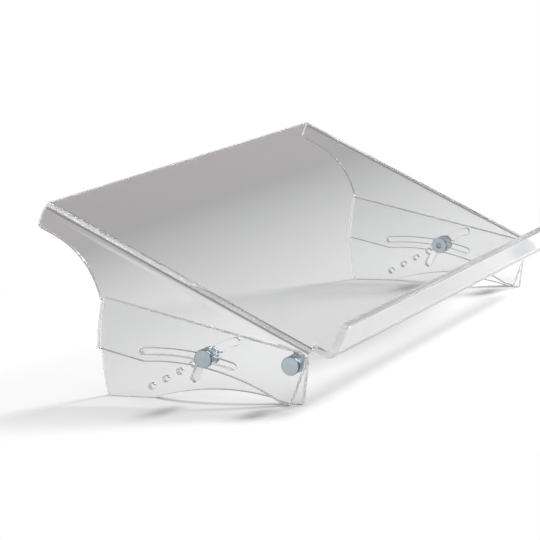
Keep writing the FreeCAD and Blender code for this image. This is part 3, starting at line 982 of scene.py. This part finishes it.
@dataclass
class Studio:
    """Pale floor, soft light and the camera of the photograph.

    A span says where a tone starts to change and where it has changed: along Y for
    the painted rear shade and the warm one, away from white_centre for the white one,
    and in shares of the ellipse's reach for the painted shadow under the stand. A world
    stop is a height, from 0 below to 1 above, and its grey. The room is brighter on the
    camera's side, by a gain that grows along camera_side_span, an X of the direction.
    """

    focal: float = 171.088
    sensor: float = 36.0
    clip: Span = (0.05, 100.0)
    camera_place: Place = (-2.02420, -0.93771, 0.45040)
    azimuth: float = -63.995
    elevation: float = 9.864
    roll: float = -3.473
    floor_reach: float = 12.0
    floor_albedo: float = 0.99
    # Painted shade: the floor seen from inside the sheet darkens to the rear, in place of the
    # light's fall-off.
    painted_shade_far_albedo: float = 0.42
    painted_shade_span: Span = (0.04, 0.47)
    warm_gain: float = 1.08
    warm_span: Span = (0.40, 0.62)
    seen_albedo: float = 1.14
    # Painted shadow: camera rays see a darker ellipse of floor under the stand.
    painted_shadow_albedo: float = 0.83
    painted_shadow_centre: Place = (0.02, 0.035, 0.0)
    painted_shadow_reach: Span = (0.255, 0.11)
    painted_shadow_span: Span = (0.72, 1.08)
    white_centre: Place = (-0.03, 0.0, 0.0)
    white_span: Span = (0.33, 0.46)
    key_place: Place = (3.35, -1.85, 2.95)
    key_target: Place = (0.0, 0.0, 0.0)
    key_size: Span = (1.40, 1.40)
    key_power: float = 246.0
    world_stops: Tuple[Span, ...] = (
        (0.0, 0.30), (0.45, 0.28), (0.55, 0.25), (0.75, 0.29), (1.0, 0.38))
    world_blue: float = 1.02
    camera_side_gain: float = 1.5
    camera_side_span: Span = (0.3, -0.9)
    backdrop: Colour = (1.0, 1.0, 1.0, 1.0)
    bounces: int = 96
    clear_bounces: int = 32

    def camera(self) -> bpy.types.Object:
        """Sets the camera as it was solved from the photograph.

        Returns:
            The camera object.
        """
        data = bpy.data.cameras.new("photo_camera")
        data.sensor_width = self.sensor
        data.lens = self.focal
        data.clip_start, data.clip_end = self.clip
        item = link_object("photo_camera", data)
        turn, tilt, roll = (math.radians(angle)
                            for angle in (self.azimuth, self.elevation, self.roll))
        back = Vector((math.sin(turn) * math.cos(tilt), -math.cos(turn) * math.cos(tilt),
                       math.sin(tilt)))
        right = (-back).cross(Vector((0.0, 0.0, 1.0))).normalized()
        up = right.cross(-back)
        across = right * math.cos(roll) + up * math.sin(roll)
        along = up * math.cos(roll) - right * math.sin(roll)
        basis = Matrix((across, along, back)).transposed().to_4x4()
        item.matrix_world = Matrix.Translation(Vector(self.camera_place)) @ basis
        bpy.context.scene.camera = item
        return item

    def floor_tone(self, bench: NodeBench, from_camera: Socket) -> Socket:
        """Colour of the floor near the stand.

        The camera sees a pale floor with a painted shadow, darker in an ellipse under the
        stand. The light that goes back into the sheet comes from a floor with painted shade
        that darkens it to the rear.

        Args:
            bench: The floor's node bench.
            from_camera: Socket that is 1 for a camera ray.

        Returns:
            The colour socket.
        """
        _, behind, _ = bench.split(bench.placed())
        # Painted shade: rays other than the camera's see the floor darken along Y to the rear.
        albedo_with_painted_shade = bench.spread(behind, self.floor_albedo, self.painted_shade_far_albedo, *self.painted_shade_span)
        wide, deep = self.painted_shadow_reach
        # Painted shadow: the camera sees the floor darker inside the ellipse under the stand.
        ellipse = bench.placed(self.painted_shadow_centre, (1.0 / wide, 1.0 / deep, 1.0))
        seen = bench.spread(bench.length(ellipse), self.painted_shadow_albedo, self.seen_albedo,
                            *self.painted_shadow_span)
        albedo = bench.mix(Blend.NUMBER, from_camera, albedo_with_painted_shade, seen)
        warm = bench.spread(behind, 1.0, self.warm_gain, *self.warm_span)
        colour = bench.add("ShaderNodeCombineColor")
        bench.join(bench.math("MULTIPLY", albedo, warm), colour.inputs["Red"])
        for channel in ("Green", "Blue"):
            bench.join(albedo, colour.inputs[channel])
        return colour.outputs["Color"]

    def floor(self) -> bpy.types.Object:
        """Lays a pale floor that shows soft shadows near the stand and is white beyond.

        Returns:
            The floor object.
        """
        shape = bmesh.new()
        bmesh.ops.create_grid(shape, x_segments=2, y_segments=2, size=self.floor_reach)
        mesh = bpy.data.meshes.new("pale_floor")
        shape.to_mesh(mesh)
        shape.free()
        bench = NodeBench(bpy.data.materials.new("pale_floor"))
        path = bench.add("ShaderNodeLightPath")
        from_camera = path.outputs["Is Camera Ray"]
        away = bench.length(bench.placed(self.white_centre))
        far = bench.spread(away, 0.0, 1.0, *self.white_span)
        matt = bench.add("ShaderNodeBsdfDiffuse")
        bench.join(self.floor_tone(bench, from_camera), matt.inputs["Color"])
        white = bench.add("ShaderNodeEmission")
        shown = bench.mix_shaders(bench.math("MULTIPLY", far, from_camera),
                                  matt.outputs["BSDF"], white.outputs["Emission"])
        bench.join(shown, bench.output.inputs["Surface"])
        mesh.materials.append(bench.owner)
        item = link_object("pale_floor", mesh)
        return item

    def area_light(self, name: str, place: Place, target: Place, size: Span,
                   power: float) -> bpy.types.Object:
        """Hangs one rectangular soft light.

        Args:
            name: Name of the light.
            place: Where it hangs.
            target: The point it faces.
            size: Its width and depth.
            power: Its power in watts.

        Returns:
            The light object.
        """
        data = bpy.data.lights.new(name, "AREA")
        data.shape = "RECTANGLE"
        data.size, data.size_y = size
        data.energy = power
        item = link_object(name, data)
        item.location = place
        way = Vector(target) - Vector(place)
        item.rotation_euler = way.to_track_quat("-Z", "Y").to_euler()
        return item

    def world(self) -> None:
        """Gives a white backdrop to the eye and a soft grey room to all other rays."""
        world = bpy.data.worlds.new("studio_room")
        bench = NodeBench(world, "ShaderNodeOutputWorld")
        direction = bench.add("ShaderNodeTexCoord")
        along, _, upward = bench.split(direction.outputs["Generated"])
        ramp = bench.add("ShaderNodeValToRGB")
        stops = ramp.color_ramp.elements
        while len(stops) < len(self.world_stops):
            stops.new(0.5)
        for stop, (where, grey) in zip(stops, self.world_stops):
            stop.position = where
            stop.color = (grey, grey, grey * self.world_blue, 1.0)
        bench.join(bench.spread(upward, 0.0, 1.0, -1.0, 1.0), ramp.inputs["Fac"])
        room = bench.add("ShaderNodeVectorMath", operation="SCALE")
        bench.join(ramp.outputs["Color"], room.inputs[0])
        gain = bench.spread(along, 1.0, self.camera_side_gain, *self.camera_side_span)
        bench.join(gain, room.inputs["Scale"])
        path = bench.add("ShaderNodeLightPath")
        back = bench.add("ShaderNodeBackground")
        bench.join(bench.mix(Blend.COLOUR, path.outputs["Is Camera Ray"],
                             room.outputs["Vector"], self.backdrop), back.inputs["Color"])
        bench.join(back.outputs["Background"], bench.output.inputs["Surface"])
        bpy.context.scene.world = world

    def build(self) -> None:
        """Sets up the whole studio."""
        scene = bpy.context.scene
        scene.view_settings.view_transform = "Standard"
        scene.cycles.max_bounces = self.bounces
        scene.cycles.glossy_bounces = self.bounces
        scene.cycles.transmission_bounces = self.bounces
        scene.cycles.transparent_max_bounces = self.clear_bounces
        scene.cycles.caustics_refractive = False
        scene.cycles.caustics_reflective = False
        self.camera()
        self.floor()
        self.world()
        self.area_light("key_softbox", self.key_place, self.key_target, self.key_size,
                        self.key_power)
        LOG.info("studio: camera at %s, lens %.1f mm", self.camera_place, self.focal)


def build_acrylic() -> List[bpy.types.Object]:
    """Builds the tray and the two legs.

    Returns:
        The finished pieces.
    """
    finishes = (ClearAcrylic().material(), PolishedCutEdge().material(),
                FormedBend().material())
    pieces = [Tray("tray", "tray", finishes).build()]
    for side in Side:
        name = side.value + "_leg"
        pieces.append(Leg(name, name, finishes).build())
    return pieces


def build_hardware() -> List[bpy.types.Object]:
    """Builds the four bolts and their nuts.

    Returns:
        The finished pieces.
    """
    pieces = []
    for station in Station:
        low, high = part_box("left_%s_bolt" % station.value)
        middle = (low + high) / 2.0
        centre = (0.0, middle.y, middle.z)
        finish = PlatedSteel("plated_steel_" + station.value, centre).material()
        nut_finish = PaleNutPlating("plated_nut_" + station.value, centre).material()
        for side in Side:
            carrier = "tray" if station is Station.PIVOT else side.value + "_clamp"
            pieces.append(FlatHeadBolt(side, station, carrier, finish).build())
            nut_body = "%s_%s_nut" % (side.value, station.value)
            pieces.append(FlutedNut(side, station, nut_body, nut_finish).build())
    return pieces


def main() -> None:
    """Builds the stand and its studio."""
    logging.basicConfig(level=logging.INFO, format="%(name)s %(message)s")
    Studio().build()
    pieces = build_acrylic() + build_hardware()
    LOG.info("%d pieces built", len(pieces))


if __name__ == "__main__":
    main()
